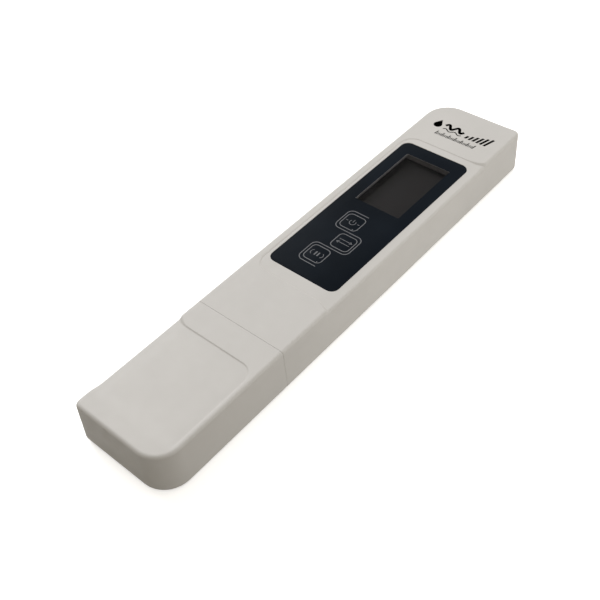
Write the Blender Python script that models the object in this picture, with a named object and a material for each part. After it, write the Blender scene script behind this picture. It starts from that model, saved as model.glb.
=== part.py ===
"""Pocket water test pen (conductivity pen meter), modelled as its separate pieces.

Frame: +X towards the display end, -X towards the cap's tip, +Z out of the display
face, origin on the back face under the middle of the pen.  Lengths are in metres;
the constants below are in millimetres and go through mm().
"""
import math

import bmesh
import bpy
from mathutils import Matrix, Vector

# ---------------------------------------------------------------- dimensions (mm)
LENGTH, WIDTH, HEIGHT = 154.0, 30.0, 14.0
X_TIP, X_HEAD = -LENGTH / 2, LENGTH / 2
Y_SIDE = WIDTH / 2
TOP_FILLET, BOTTOM_FILLET = 1.1, 1.1
DRAFT = 0.39       # how far the side walls lean in between the back and the display face
# the outline's corners are deliberately unequal: two tight, two generous
R_TIP_LEFT, R_TIP_RIGHT, R_HEAD_RIGHT, R_HEAD_LEFT = 2.2, 7.7, 2.5, 8.5
GAP = 0.3          # clearance between neighbouring mouldings
TOUCH = 0.15       # clearance between pieces that are soldered, glued or stacked
WALL = 1.6

X_SEAM = -34.8     # body end face; the cap's mouth is one GAP beyond it
TOP_WALL_UNDER = 11.8

PANEL_X0, PANEL_X1, PANEL_Y1 = -16.2, 55.1, 12.1
PANEL_DEPTH, PANEL_R, PANEL_FLARE = 0.2, 4.5, 1.8
PANEL_Z = HEIGHT - PANEL_DEPTH

LABEL = (-11.9, 52.5, -11.65, 11.1)
LABEL_Z0, LABEL_T, LABEL_R = 13.4, 0.2, 2.4
WINDOW = (22.4, 47.7, -7.6, 7.25)
PANE_EDGE, PANE_Z0, PANE_Z1 = 0.9, 12.55, 13.25

KEY_CENTRES = {"power": (13.05, 1.25), "shift": (5.05, -1.9), "hold": (-2.75, 1.2)}
KEY_HALF, KEY_R, KEY_FLANGE_HALF = 2.85, 1.25, 3.55
KEY_Z0, KEY_Z1 = 10.25, LABEL_Z0 + LABEL_T
KEY_HOLE_HALF = KEY_HALF + 0.25

BOARD = (-17.0, 50.2, -12.6, 12.6)
BOARD_Z0, BOARD_T = 6.6, 1.0
BOARD_TOP = BOARD_Z0 + BOARD_T
SWITCH_HALF, SWITCH_H = 2.6, 1.4
BUTTON_R, BUTTON_H = 1.4, 1.4

LCD = (20.4, 49.2, -10.7, 10.5)
LCD_Z0, LCD_Z1 = 9.7, 11.5
FRAME_WALL = 0.85

CELL_R, CELL_H = 5.8, 5.4
CELL_X = (57.2, 69.2)
CELL_Y, CELL_Z0 = -1.0, 2.2

DOOR_X0 = 49.6
DOOR_HALF, DOOR_FLANGE = 5.8, 0.8
DOOR_T = 1.6

CAP_X1 = X_SEAM - GAP
CAP_CAVITY = (-75.2, 0.0, -12.9, 12.9)
CAP_Z0, CAP_Z1 = 1.9, 11.8
DISH_X1, DISH_X0, DISH_Y0, DISH_R = -43.1, -68.0, -13.1, 4.2
DISH_DEPTH, DISH_RAMP = 0.25, 3.0

NECK_Y, NECK_Z0, NECK_Z1, NECK_X0 = 12.0, 2.9, 10.8, -43.0
SHAFT_Y, SHAFT_X0 = 8.0, -62.0
PRONG_T, PRONG_X0 = 1.8, -73.4
PIN_R, PIN_Y, PIN_X0, PIN_X1, PIN_Z = 1.1, 3.7, -72.0, -29.6, 6.85
SENSOR_R, SENSOR_X0 = 1.2, -69.5

CASE_SCREWS = ((-22.0, 8.5), (-22.0, -8.5))
BOARD_SCREWS = ((-13.0, 9.6), (-13.0, -9.6))


def mm(v):
    return v / 1000.0


# ---------------------------------------------------------------- scene and helpers
for old in list(bpy.data.objects):
    bpy.data.objects.remove(old, do_unlink=True)

scene = bpy.context.scene
parts = bpy.data.collections.new("water_test_pen")
helpers = bpy.data.collections.new("cutters")
scene.collection.children.link(parts)
scene.collection.children.link(helpers)


def material(name, colour, rough, metal=0.0, alpha=1.0):
    mat = bpy.data.materials.new(name)
    mat.use_nodes = True
    shader = mat.node_tree.nodes["Principled BSDF"]
    shader.inputs["Base Color"].default_value = (*colour, 1.0)
    shader.inputs["Roughness"].default_value = rough
    shader.inputs["Metallic"].default_value = metal
    shader.inputs["Alpha"].default_value = alpha
    mat.diffuse_color = (*colour, 1.0)
    return mat


ABS = material("abs_white", (0.58, 0.56, 0.52), 0.55)
FILM = material("film_navy", (0.010, 0.013, 0.018), 0.35)
KEYTOP = material("key_navy", (0.010, 0.013, 0.018), 0.38)
PANE = material("smoked_pane", (0.03, 0.03, 0.035), 0.08, alpha=0.5)
LCDGLASS = material("lcd_glass", (0.02, 0.02, 0.022), 0.12)
BLACK = material("black_plastic", (0.02, 0.02, 0.02), 0.5)
ZEBRA = material("zebra_rubber", (0.10, 0.10, 0.11), 0.7)
GREEN = material("solder_mask", (0.01, 0.16, 0.05), 0.3)
STEEL = material("stainless", (0.62, 0.62, 0.60), 0.25, 1.0)
TITAN = material("titanium", (0.48, 0.46, 0.43), 0.32, 1.0)
NICKEL = material("nickel_strip", (0.66, 0.63, 0.55), 0.3, 1.0)
SILICONE = material("silicone", (0.25, 0.25, 0.26), 0.75)
RED = material("lead_red", (0.45, 0.02, 0.02), 0.45)
DARK = material("lead_black", (0.02, 0.02, 0.02), 0.45)
YELLOW = material("lead_yellow", (0.55, 0.40, 0.03), 0.45)


def add(name, mesh, mat=None, helper=False, location=(0, 0, 0)):
    obj = bpy.data.objects.new(name, mesh)
    (helpers if helper else parts).objects.link(obj)
    obj.location = location
    if mat is not None:
        mesh.materials.clear()
        mesh.materials.append(mat)
    if helper:
        obj.hide_render = True
        obj.display_type = "WIRE"
    return obj


def block_mesh(name, x0, x1, y0, y1, z0, z1, corners=None, corner_seg=5,
               top=0.0, bottom=0.0, edge_seg=2, open_end=None):
    """A box from a cube, its upright edges rounded one by one, then its rims.

    corners maps (sign x, sign y) to a radius; open_end names the end, -1 or +1
    along X, whose rims stay square because it meets another moulding."""
    bm = bmesh.new()
    bmesh.ops.create_cube(bm, size=1.0)
    size = Vector((mm(x1 - x0), mm(y1 - y0), mm(z1 - z0)))
    mid = Vector((mm(x0 + x1) / 2, mm(y0 + y1) / 2, mm(z0 + z1) / 2))
    bmesh.ops.transform(bm, matrix=Matrix.Translation(mid) @ Matrix.Diagonal((*size, 1.0)), verts=bm.verts)
    for (sx, sy), radius in (corners or {}).items():
        if radius <= 0:
            continue
        px, py = mm(x1 if sx > 0 else x0), mm(y1 if sy > 0 else y0)
        edges = [e for e in bm.edges
                 if all(abs(v.co.x - px) < 1e-7 and abs(v.co.y - py) < 1e-7 for v in e.verts)]
        bmesh.ops.bevel(bm, geom=edges, offset=mm(radius), segments=corner_seg, profile=0.5,
                        affect="EDGES", clamp_overlap=False)
    for z, radius in ((z1, top), (z0, bottom)):
        if radius <= 0:
            continue
        rim = []
        for e in bm.edges:
            a, b = e.verts[0].co, e.verts[1].co
            if abs(a.z - mm(z)) > 1e-7 or abs(b.z - mm(z)) > 1e-7:
                continue
            if len(e.link_faces) == 2 and not any(abs(f.normal.z) < 0.5 for f in e.link_faces):
                continue
            if open_end is not None:
                xe = mm(x1 if open_end > 0 else x0)
                if abs(a.x - xe) < 1e-7 and abs(b.x - xe) < 1e-7:
                    continue
            rim.append(e)
        bmesh.ops.bevel(bm, geom=rim, offset=mm(radius), segments=edge_seg, profile=0.5,
                        affect="EDGES", clamp_overlap=False)
    bmesh.ops.recalc_face_normals(bm, faces=bm.faces)
    mesh = bpy.data.meshes.new(name)
    bm.to_mesh(mesh)
    bm.free()
    return mesh


def block(name, x0, x1, y0, y1, z0, z1, mat=None, helper=False, **kw):
    return add(name, block_mesh(name, x0, x1, y0, y1, z0, z1, **kw), mat, helper)


def taper(obj, x_closed, r_neg, r_pos):
    """Leans a moulding's side walls in towards the display face; its open end stays square."""
    sign = 1.0 if x_closed > 0 else -1.0
    for v in obj.data.vertices:
        lean = mm(DRAFT) * (v.co.z - mm(BOTTOM_FILLET)) / mm(HEIGHT - BOTTOM_FILLET)
        if lean <= 0:
            continue
        side = 1.0 if v.co.y > 0 else -1.0
        r = mm(r_pos if side > 0 else r_neg)
        dx = sign * (v.co.x - mm(x_closed)) + r
        dy = abs(v.co.y) - mm(Y_SIDE) + r
        if dx > 1e-7 and dy > 1e-7:
            out = Vector((dx, dy)).normalized()
        else:
            out = Vector((0.0, 1.0)) if dy >= dx else Vector((1.0, 0.0))
        v.co.x -= sign * out.x * lean
        v.co.y -= side * out.y * lean


def square_corners(radius):
    return {(sx, sy): radius for sx in (-1, 1) for sy in (-1, 1)}


def rod(name, radius, start, end, mat=None, helper=False, segments=20, chamfer=0.0, smooth=True):
    """A round rod between two points, from a cone primitive; chamfer rounds its far rim."""
    a, b = Vector([mm(c) for c in start]), Vector([mm(c) for c in end])
    bm = bmesh.new()
    bmesh.ops.create_cone(bm, cap_ends=True, segments=segments, radius1=mm(radius),
                          radius2=mm(radius), depth=(b - a).length)
    if chamfer > 0:
        far = max(v.co.z for v in bm.verts)
        rim = [e for e in bm.edges if all(abs(v.co.z - far) < 1e-8 for v in e.verts)]
        bmesh.ops.bevel(bm, geom=rim, offset=mm(chamfer), segments=2, profile=0.5,
                        affect="EDGES", clamp_overlap=False)
    turn = (b - a).to_track_quat("Z", "Y").to_matrix().to_4x4()
    bmesh.ops.transform(bm, matrix=Matrix.Translation((a + b) / 2) @ turn, verts=bm.verts)
    bmesh.ops.recalc_face_normals(bm, faces=bm.faces)
    mesh = bpy.data.meshes.new(name)
    bm.to_mesh(mesh)
    bm.free()
    if smooth:
        mesh.shade_smooth()
        mesh.set_sharp_from_angle(angle=math.radians(40))
    return add(name, mesh, mat, helper)


def as_mesh(curve_obj, name, mat=None, helper=False):
    """The curve object's evaluated shape as a welded mesh object of its own."""
    bpy.context.view_layer.update()
    graph = bpy.context.evaluated_depsgraph_get()
    mesh = bpy.data.meshes.new_from_object(curve_obj.evaluated_get(graph))
    matrix = curve_obj.matrix_world.copy()
    bpy.data.objects.remove(curve_obj, do_unlink=True)
    bm = bmesh.new()
    bm.from_mesh(mesh)
    bmesh.ops.remove_doubles(bm, verts=bm.verts, dist=1e-7)
    bmesh.ops.recalc_face_normals(bm, faces=bm.faces)
    bm.to_mesh(mesh)
    bm.free()
    mesh.name = name
    obj = add(name, mesh, mat, helper)
    obj.matrix_world = matrix
    return obj


def plate(name, outline, z0, z1, mat=None, helper=False):
    """A flat outline, a filled 2D curve with thickness, made a mesh."""
    curve = bpy.data.curves.new(name, "CURVE")
    curve.dimensions = "2D"
    curve.fill_mode = "BOTH"
    curve.extrude = mm(z1 - z0) / 2
    spline = curve.splines.new("POLY")
    spline.points.add(len(outline) - 1)
    for p, (x, y) in zip(spline.points, outline):
        p.co = (mm(x), mm(y), 0.0, 1.0)
    spline.use_cyclic_u = True
    obj = bpy.data.objects.new(name + "_outline", curve)
    helpers.objects.link(obj)
    obj.location = (0, 0, mm(z0 + z1) / 2)
    return as_mesh(obj, name, mat, helper)


def arc(cx, cy, r, a0, a1, n=6):
    """Points along an arc, angles in degrees."""
    return [(cx + r * math.cos(math.radians(a0 + (a1 - a0) * i / n)),
             cy + r * math.sin(math.radians(a0 + (a1 - a0) * i / n))) for i in range(n + 1)]


def boolean(target, tool, operation):
    mod = target.modifiers.new(operation.lower() + "_" + tool.name, "BOOLEAN")
    mod.operation = operation
    mod.object = tool
    mod.solver = "EXACT"
    return target


def cut(target, *tools):
    for tool in tools:
        boolean(target, tool, "DIFFERENCE")


def join(target, *tools):
    for tool in tools:
        boolean(target, tool, "UNION")


# ---------------------------------------------------------------- front shell
# One deep moulding: display face and full-height side walls, open at the back.
front = block("front_shell", X_SEAM, X_HEAD, -Y_SIDE, Y_SIDE, 0, HEIGHT, ABS,
              corners={(1, -1): R_HEAD_RIGHT, (1, 1): R_HEAD_LEFT}, corner_seg=6,
              top=TOP_FILLET, bottom=BOTTOM_FILLET, edge_seg=3, open_end=-1)
taper(front, X_HEAD, R_HEAD_RIGHT, R_HEAD_LEFT)
inside = block("c_front_inside", X_SEAM + WALL, X_HEAD - WALL, -Y_SIDE + WALL, Y_SIDE - WALL, -2,
               TOP_WALL_UNDER, helper=True,
               corners={(1, -1): R_HEAD_RIGHT - WALL, (1, 1): R_HEAD_LEFT - WALL}, corner_seg=5)
# the panel recess: closed with round corners at +Y, run out through the edge at -Y,
# where both of its ends flare away from the label
panel_outline = (
    arc(PANEL_X1 - PANEL_R, PANEL_Y1 - PANEL_R, PANEL_R, 0, 90)
    + arc(PANEL_X0 + PANEL_R, PANEL_Y1 - PANEL_R, PANEL_R, 90, 180)
    + [(PANEL_X0, -10.5), (PANEL_X0 - 0.35, -12.2), (PANEL_X0 - 1.0, -13.8),
       (PANEL_X0 - PANEL_FLARE, -15.0), (PANEL_X0 - PANEL_FLARE, -18.0),
       (PANEL_X1 + PANEL_FLARE, -18.0), (PANEL_X1 + PANEL_FLARE, -15.0), (PANEL_X1 + 1.0, -13.8),
       (PANEL_X1 + 0.35, -12.2), (PANEL_X1, -10.5)]
)
panel_cut = plate("c_panel", panel_outline, PANEL_Z, HEIGHT + 2, helper=True)
# the shallow pocket in its floor that takes the printed film
label_pocket = block("c_label_pocket", LABEL[0] - TOUCH, LABEL[1] + TOUCH, LABEL[2] - TOUCH, LABEL[3] + TOUCH,
                     LABEL_Z0 - 0.1, HEIGHT + 1.6, helper=True,
                     corners=square_corners(LABEL_R + TOUCH), corner_seg=4)
window_cut = block("c_window", *WINDOW, 9.0, HEIGHT + 1, helper=True)
pane_seat = block("c_pane_seat", WINDOW[0] - PANE_EDGE - GAP, WINDOW[1] + PANE_EDGE + GAP,
                  WINDOW[2] - PANE_EDGE - GAP, WINDOW[3] + PANE_EDGE + GAP,
                  PANE_Z0 - TOUCH, HEIGHT + 1.2, helper=True)
bosses = []
for i, (bx, by) in enumerate(CASE_SCREWS):
    bosses.append(rod(f"u_case_boss_{i}", 2.8, (bx, by, 3.8), (bx, by, 12.4), helper=True, segments=16))
for i, (bx, by) in enumerate(BOARD_SCREWS):
    bosses.append(rod(f"u_board_boss_{i}", 2.2, (bx, by, BOARD_TOP + TOUCH), (bx, by, 12.4), helper=True, segments=16))
pilots = []
for i, (bx, by) in enumerate(CASE_SCREWS):
    pilots.append(rod(f"c_case_pilot_{i}", 1.15, (bx, by, 3.0), (bx, by, 10.0), helper=True, segments=12))
for i, (bx, by) in enumerate(BOARD_SCREWS):
    pilots.append(rod(f"c_board_pilot_{i}", 0.85, (bx, by, 7.0), (bx, by, 11.0), helper=True, segments=12))
neck_hole = block("c_neck_hole", X_SEAM - 2, X_SEAM + WALL + 1, -NECK_Y - GAP, NECK_Y + GAP,
                  NECK_Z0 - GAP, NECK_Z1 + GAP, helper=True, corners=None)
door_notch = block("c_door_notch", X_HEAD - WALL - 1, X_HEAD + 2,
                   CELL_Y - DOOR_HALF - DOOR_FLANGE - GAP, CELL_Y + DOOR_HALF + DOOR_FLANGE + GAP,
                   -2, DOOR_T + GAP, helper=True)
bridge_notch = block("c_bridge_notch", X_HEAD - WALL - 1, X_HEAD + 2, -3.5 - GAP, 1.5 + GAP, -1, DOOR_T + 0.4 + GAP,
                     helper=True)
cut(front, inside, panel_cut, label_pocket, window_cut, pane_seat)
for key, (kx, ky) in KEY_CENTRES.items():
    hole = block(f"c_key_hole_{key}", kx - KEY_HOLE_HALF, kx + KEY_HOLE_HALF, ky - KEY_HOLE_HALF,
                 ky + KEY_HOLE_HALF, 9.0, HEIGHT + 1, helper=True,
                 corners=square_corners(KEY_R + 0.25), corner_seg=3)
    cut(front, hole)
join(front, *bosses)
cut(front, *pilots)
cut(front, neck_hole, door_notch, bridge_notch)

# ---------------------------------------------------------------- rear shell
REAR_R_LEFT = R_HEAD_LEFT - WALL - GAP
rear = block("rear_shell", X_SEAM + WALL + GAP, X_HEAD - WALL - GAP, -Y_SIDE + WALL + GAP,
             Y_SIDE - WALL - GAP, 0, WALL, ABS,
             corners={(1, -1): 0.6, (1, 1): REAR_R_LEFT}, corner_seg=5)
for i, (y0, y1) in enumerate(((CELL_Y - CELL_R - 2.3, CELL_Y - CELL_R - 1.4),
                              (CELL_Y + CELL_R + 1.4, CELL_Y + CELL_R + 2.3))):
    join(rear, block(f"u_cell_rib_{i}", 51.2, 74.0, y0, y1, 0.8, 7.4, helper=True))
for i, (bx, by) in enumerate(CASE_SCREWS):
    join(rear, rod(f"u_screw_pad_{i}", 3.6, (bx, by, 0.8), (bx, by, 3.4), helper=True, segments=18))
for i, (bx, by) in enumerate(CASE_SCREWS):
    cut(rear, rod(f"c_head_pocket_{i}", 2.4, (bx, by, -1), (bx, by, 1.9), helper=True, segments=18),
        rod(f"c_screw_way_{i}", 1.3, (bx, by, -1), (bx, by, 5), helper=True, segments=12))
cut(rear, block("c_door_way", DOOR_X0 - GAP, 90, CELL_Y - DOOR_HALF - GAP, CELL_Y + DOOR_HALF + GAP,
                -1, 3, helper=True),
    block("c_door_rail", DOOR_X0 - GAP, 90, CELL_Y - DOOR_HALF - DOOR_FLANGE - GAP,
          CELL_Y + DOOR_HALF + DOOR_FLANGE + GAP, 0.7, 3, helper=True))

# ---------------------------------------------------------------- battery door
door = block("battery_door", DOOR_X0, X_HEAD, CELL_Y - DOOR_HALF, CELL_Y + DOOR_HALF, 0, 1.3, ABS)
join(door, block("u_door_flange", DOOR_X0, X_HEAD, CELL_Y - DOOR_HALF - DOOR_FLANGE,
                 CELL_Y + DOOR_HALF + DOOR_FLANGE, 1.0, DOOR_T, helper=True))
# finger ribs pressed into the door's outer face, and its lower end edge cut off at a slant
for i in range(4):
    gx = 55.5 + i * 2.0
    cut(door, block(f"c_door_grip_{i}", gx, gx + 0.9, CELL_Y - 3.5, CELL_Y + 3.5, -1, 0.35, helper=True))
wedge = block_mesh("c_door_chamfer", -1.1, 1.1, -12, 12, -1.1, 1.1)
chamfer = add("c_door_chamfer", wedge, helper=True, location=(mm(X_HEAD), 0, 0))
chamfer.rotation_euler = (0, math.radians(45), 0)
cut(door, chamfer)

# ---------------------------------------------------------------- cap
cap = block("cap", X_TIP, CAP_X1, -Y_SIDE, Y_SIDE, 0, HEIGHT, ABS,
            corners={(-1, -1): R_TIP_RIGHT, (-1, 1): R_TIP_LEFT}, corner_seg=6,
            top=TOP_FILLET, bottom=BOTTOM_FILLET, edge_seg=3, open_end=1)
taper(cap, X_TIP, R_TIP_RIGHT, R_TIP_LEFT)
cap_inside = block("c_cap_inside", CAP_CAVITY[0], X_SEAM + 3, CAP_CAVITY[2], CAP_CAVITY[3],
                   CAP_Z0, CAP_Z1, helper=True,
                   corners={(-1, -1): 5.6, (-1, 1): 1.2}, corner_seg=5)
# thumb dish: a step near the mouth and a level floor, with a shallow ramp back up at
# the tip; closed at -Y, run out through the edge at +Y, where its end flares
dish_outline = (
    [(DISH_X1, 11.0), (DISH_X1, DISH_Y0 + DISH_R)]
    + arc(DISH_X1 - DISH_R, DISH_Y0 + DISH_R, DISH_R, 0, -90)
    + [(DISH_X0, DISH_Y0), (DISH_X0, 18.0), (DISH_X1 + 2.6, 18.0), (DISH_X1 + 2.6, 15.0),
       (DISH_X1 + 1.4, 13.6), (DISH_X1 + 0.4, 12.2)]
)
dish = plate("c_dish", dish_outline, HEIGHT - DISH_DEPTH, HEIGHT + 3, helper=True)
ramp_angle = math.atan(DISH_DEPTH / DISH_RAMP)
ramp = block("c_dish_ramp", -10.0, 0.0, DISH_Y0, 18.0, 0.0, 3.0, helper=True)
ramp.matrix_world = (Matrix.Translation((mm(DISH_X0 + 0.02), 0, mm(HEIGHT - DISH_DEPTH)))
                     @ Matrix.Rotation(ramp_angle, 4, "Y"))
cut(cap, cap_inside, dish, ramp)

# ---------------------------------------------------------------- label, pane, keys
label = block("label_overlay", *LABEL, LABEL_Z0, LABEL_Z0 + LABEL_T, FILM,
              corners=square_corners(LABEL_R), corner_seg=4)
cut(label, block("c_label_window", *WINDOW, 12, 15, helper=True))
for key, (kx, ky) in KEY_CENTRES.items():
    cut(label, block(f"c_label_key_{key}", kx - KEY_HOLE_HALF, kx + KEY_HOLE_HALF,
                     ky - KEY_HOLE_HALF, ky + KEY_HOLE_HALF, 12, 15, helper=True,
                     corners=square_corners(KEY_R + 0.25), corner_seg=3))
block("display_window", WINDOW[0] - PANE_EDGE, WINDOW[1] + PANE_EDGE, WINDOW[2] - PANE_EDGE,
      WINDOW[3] + PANE_EDGE, PANE_Z0, PANE_Z1, PANE)
for key, (kx, ky) in KEY_CENTRES.items():
    h = KEY_HALF
    mesh = block_mesh(f"key_{key}", -h, h, -h, h, 0, KEY_Z1 - KEY_Z0,
                      corners=square_corners(KEY_R), corner_seg=3)
    keytop = add(f"key_{key}", mesh, KEYTOP, location=(mm(kx), mm(ky), mm(KEY_Z0)))
    f = KEY_FLANGE_HALF
    join(keytop, block(f"u_key_flange_{key}", kx - f, kx + f, ky - f, ky + f, KEY_Z0, KEY_Z0 + 1.1, helper=True))

# ---------------------------------------------------------------- switches
for key, (kx, ky) in KEY_CENTRES.items():
    s, z0 = SWITCH_HALF, BOARD_TOP + TOUCH
    body = block(f"switch_{key}", kx - s, kx + s, ky - s, ky + s, z0, z0 + SWITCH_H, BLACK)
    cut(body, rod(f"c_switch_well_{key}", BUTTON_R + 0.2, (kx, ky, z0 + 0.45), (kx, ky, z0 + 4),
                  helper=True, segments=16))
    rod(f"switch_button_{key}", BUTTON_R, (kx, ky, KEY_Z0 - TOUCH - BUTTON_H), (kx, ky, KEY_Z0 - TOUCH),
        BLACK, segments=16, chamfer=0.2)

# ---------------------------------------------------------------- display stack
lcd = block("lcd_panel", *LCD, LCD_Z0 + 0.8, LCD_Z1, LCDGLASS)
join(lcd, block("u_lcd_lower", LCD[0] + 0.6, LCD[1] - 0.6, LCD[2] + 2.4, LCD[3] - 2.4,
                LCD_Z0, LCD_Z1 - 0.5, helper=True))
frame_out = (LCD[0] - GAP - FRAME_WALL, LCD[1] + GAP + FRAME_WALL - 0.35, LCD[2] - GAP - FRAME_WALL, LCD[3] + GAP + FRAME_WALL)
lcd_frame = block("lcd_frame", *frame_out, BOARD_TOP + TOUCH, 11.1, BLACK)
cut(lcd_frame, block("c_lcd_frame", LCD[0] - GAP, LCD[1] + GAP, LCD[2] - GAP, LCD[3] + GAP, 5, 14, helper=True))
for i, (y0, y1) in enumerate(((LCD[2] + 0.2, LCD[2] + 2.1), (LCD[3] - 2.1, LCD[3] - 0.2))):
    block(f"zebra_strip_{i + 1}", LCD[0] + 1.0, LCD[1] - 1.0, y0, y1, BOARD_TOP + TOUCH, LCD_Z0 + 0.8 - TOUCH, ZEBRA)

# ---------------------------------------------------------------- circuit board and what is on it
board = block("circuit_board", *BOARD, BOARD_Z0, BOARD_TOP, GREEN, corners=square_corners(0.8), corner_seg=2)
for i, (bx, by) in enumerate(BOARD_SCREWS):
    cut(board, rod(f"c_board_hole_{i}", 1.3, (bx, by, 5), (bx, by, 9), helper=True, segments=14))
    screw = rod(f"board_screw_{i + 1}", 0.7, (bx, by, BOARD_Z0 - 0.6), (bx, by, 10.4), STEEL, segments=10)
    join(screw, rod(f"u_board_head_{i}", 1.9, (bx, by, BOARD_Z0 - 1.5), (bx, by, BOARD_Z0 - TOUCH), helper=True, segments=14))
    cut(screw, block(f"c_board_slot_a_{i}", bx - 1.2, bx + 1.2, by - 0.22, by + 0.22, 4, BOARD_Z0 - 0.95, helper=True),
        block(f"c_board_slot_b_{i}", bx - 0.22, bx + 0.22, by - 1.2, by + 1.2, 4, BOARD_Z0 - 0.95, helper=True))
block("controller_chip", 0.0, 7.0, -5.0, 2.0, BOARD_Z0 - TOUCH - 1.4, BOARD_Z0 - TOUCH, BLACK)
block("amplifier_chip", -10.5, -5.6, -1.0, 3.0, BOARD_Z0 - TOUCH - 1.4, BOARD_Z0 - TOUCH, BLACK)
rod("timing_crystal", 1.0, (12.0, 6.0, BOARD_Z0 - TOUCH - 1.0), (18.0, 6.0, BOARD_Z0 - TOUCH - 1.0), STEEL, segments=14, chamfer=0.2)
rod("reservoir_capacitor", 1.9, (22.0, -6.0, BOARD_Z0 - TOUCH - 1.9), (28.0, -6.0, BOARD_Z0 - TOUCH - 1.9), NICKEL, segments=16, chamfer=0.3)

# ---------------------------------------------------------------- batteries and contacts
for i, cx in enumerate(CELL_X):
    up = i == 1
    z0, z1 = CELL_Z0, CELL_Z0 + CELL_H
    base, crown = (z0, z1) if up else (z1, z0)
    step = 0.7 if up else -0.7
    cell = rod(f"battery_cell_{i + 1}", CELL_R, (cx, CELL_Y, crown - step), (cx, CELL_Y, base), STEEL,
               segments=28, chamfer=0.35)
    join(cell, rod(f"u_cell_cap_{i}", CELL_R - 1.6, (cx, CELL_Y, base + step), (cx, CELL_Y, crown),
                   helper=True, segments=28, chamfer=0.2))
CONTACT_Z0, CONTACT_T = CELL_Z0 + CELL_H + TOUCH, 0.3
negative = block("contact_negative", 50.4, 62.0, -3.5, 1.5, CONTACT_Z0, CONTACT_Z0 + CONTACT_T, NICKEL)
join(negative, block("u_negative_tab", 50.4, 50.7, -3.5, 1.5, 5.2, CONTACT_Z0 + CONTACT_T, helper=True))
positive = block("contact_positive", 64.0, 74.4, -3.5, 1.5, CONTACT_Z0, CONTACT_Z0 + CONTACT_T, NICKEL)
join(positive, block("u_positive_cross", 66.0, 68.0, -11.2, -3.0, CONTACT_Z0, CONTACT_Z0 + CONTACT_T, helper=True),
     block("u_positive_arm", 50.4, 68.0, -11.2, -9.6, CONTACT_Z0, CONTACT_Z0 + CONTACT_T, helper=True),
     block("u_positive_tab", 50.4, 50.7, -11.2, -9.6, 5.2, CONTACT_Z0 + CONTACT_T, helper=True))
block("battery_bridge", 53.0, 73.4, -3.5, 1.5, DOOR_T + 0.1, DOOR_T + 0.4, NICKEL)

# ---------------------------------------------------------------- probe
probe = block("probe_body", NECK_X0, X_SEAM + 1.2, -NECK_Y, NECK_Y, NECK_Z0, NECK_Z1, ABS,
              corners={(-1, -1): 1.0, (-1, 1): 1.0}, corner_seg=3)
join(probe, block("u_probe_flange", X_SEAM + WALL + GAP, X_SEAM + WALL + GAP + 1.6, -NECK_Y - 1.0,
                  NECK_Y + 1.0, 2.2, 11.4, helper=True),
     block("u_probe_waist", X_SEAM, X_SEAM + WALL + 1.0, -NECK_Y, NECK_Y, NECK_Z0, NECK_Z1, helper=True),
     block("u_probe_shaft", PRONG_X0, NECK_X0 + 1, -SHAFT_Y, SHAFT_Y, NECK_Z0, NECK_Z1, helper=True,
           corners={(-1, -1): 1.6, (-1, 1): 1.6}, corner_seg=3))
cut(probe, block("c_probe_chamber", PRONG_X0 - 3, SHAFT_X0, -SHAFT_Y + PRONG_T, SHAFT_Y - PRONG_T, 0, 14, helper=True),
    block("c_seal_groove_top", -39.6, -37.4, -20, 20, NECK_Z1 - 0.8, 14, helper=True),
    block("c_seal_groove_bottom", -39.6, -37.4, -20, 20, 0, NECK_Z0 + 0.8, helper=True),
    block("c_seal_groove_left", -39.6, -37.4, NECK_Y - 0.8, 20, 0, 14, helper=True),
    block("c_seal_groove_right", -39.6, -37.4, -20, -NECK_Y + 0.8, 0, 14, helper=True))
for tag, y, r in (("a", PIN_Y, PIN_R), ("b", -PIN_Y, PIN_R), ("c", 0.0, SENSOR_R)):
    cut(probe, rod(f"c_pin_bore_{tag}", r + TOUCH, (-70, y, PIN_Z), (-25, y, PIN_Z), helper=True, segments=16))
seal = block("neck_seal", -39.3, -37.7, -NECK_Y - 0.45, NECK_Y + 0.45, NECK_Z0 - 0.45, NECK_Z1 + 0.45, SILICONE)
cut(seal, block("c_neck_seal", -45, -30, -NECK_Y + 0.5, NECK_Y - 0.5, NECK_Z0 + 0.5, NECK_Z1 - 0.5, helper=True))
for i, y in enumerate((PIN_Y, -PIN_Y)):
    rod(f"electrode_pin_{i + 1}", PIN_R, (PIN_X1, y, PIN_Z), (PIN_X0, y, PIN_Z), TITAN, segments=16, chamfer=0.45)
rod("temperature_sensor", SENSOR_R, (PIN_X1, 0, PIN_Z), (SENSOR_X0, 0, PIN_Z), STEEL, segments=16, chamfer=0.6)


def lead(name, y0, y1, mat):
    """An insulated wire from a pin's tail up over the board's edge, on one smooth curve."""
    start, end = Vector((PIN_X1 + 0.3, y0, PIN_Z)), Vector((-14.6, y1, BOARD_TOP + 0.75))
    pull = (Vector((6.0, 0, 0)), Vector((-6.0, 0, 2.6)))
    curve = bpy.data.curves.new(name, "CURVE")
    curve.dimensions = "3D"
    curve.bevel_depth = mm(0.5)
    curve.bevel_resolution = 1
    curve.use_fill_caps = True
    spline = curve.splines.new("POLY")
    count = 9
    spline.points.add(count - 1)
    for i, p in enumerate(spline.points):
        t = i / (count - 1)
        c = ((1 - t) ** 3 * start + 3 * (1 - t) ** 2 * t * (start + pull[0])
             + 3 * (1 - t) * t ** 2 * (end + pull[1]) + t ** 3 * end)
        p.co = (mm(c.x), mm(c.y), mm(c.z), 1.0)
    obj = bpy.data.objects.new(name + "_path", curve)
    parts.objects.link(obj)
    as_mesh(obj, name, mat)


lead("electrode_lead_1", PIN_Y, 4.6, RED)
lead("electrode_lead_2", -PIN_Y, -4.6, DARK)
lead("sensor_lead", 0.0, 0.0, YELLOW)

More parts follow.
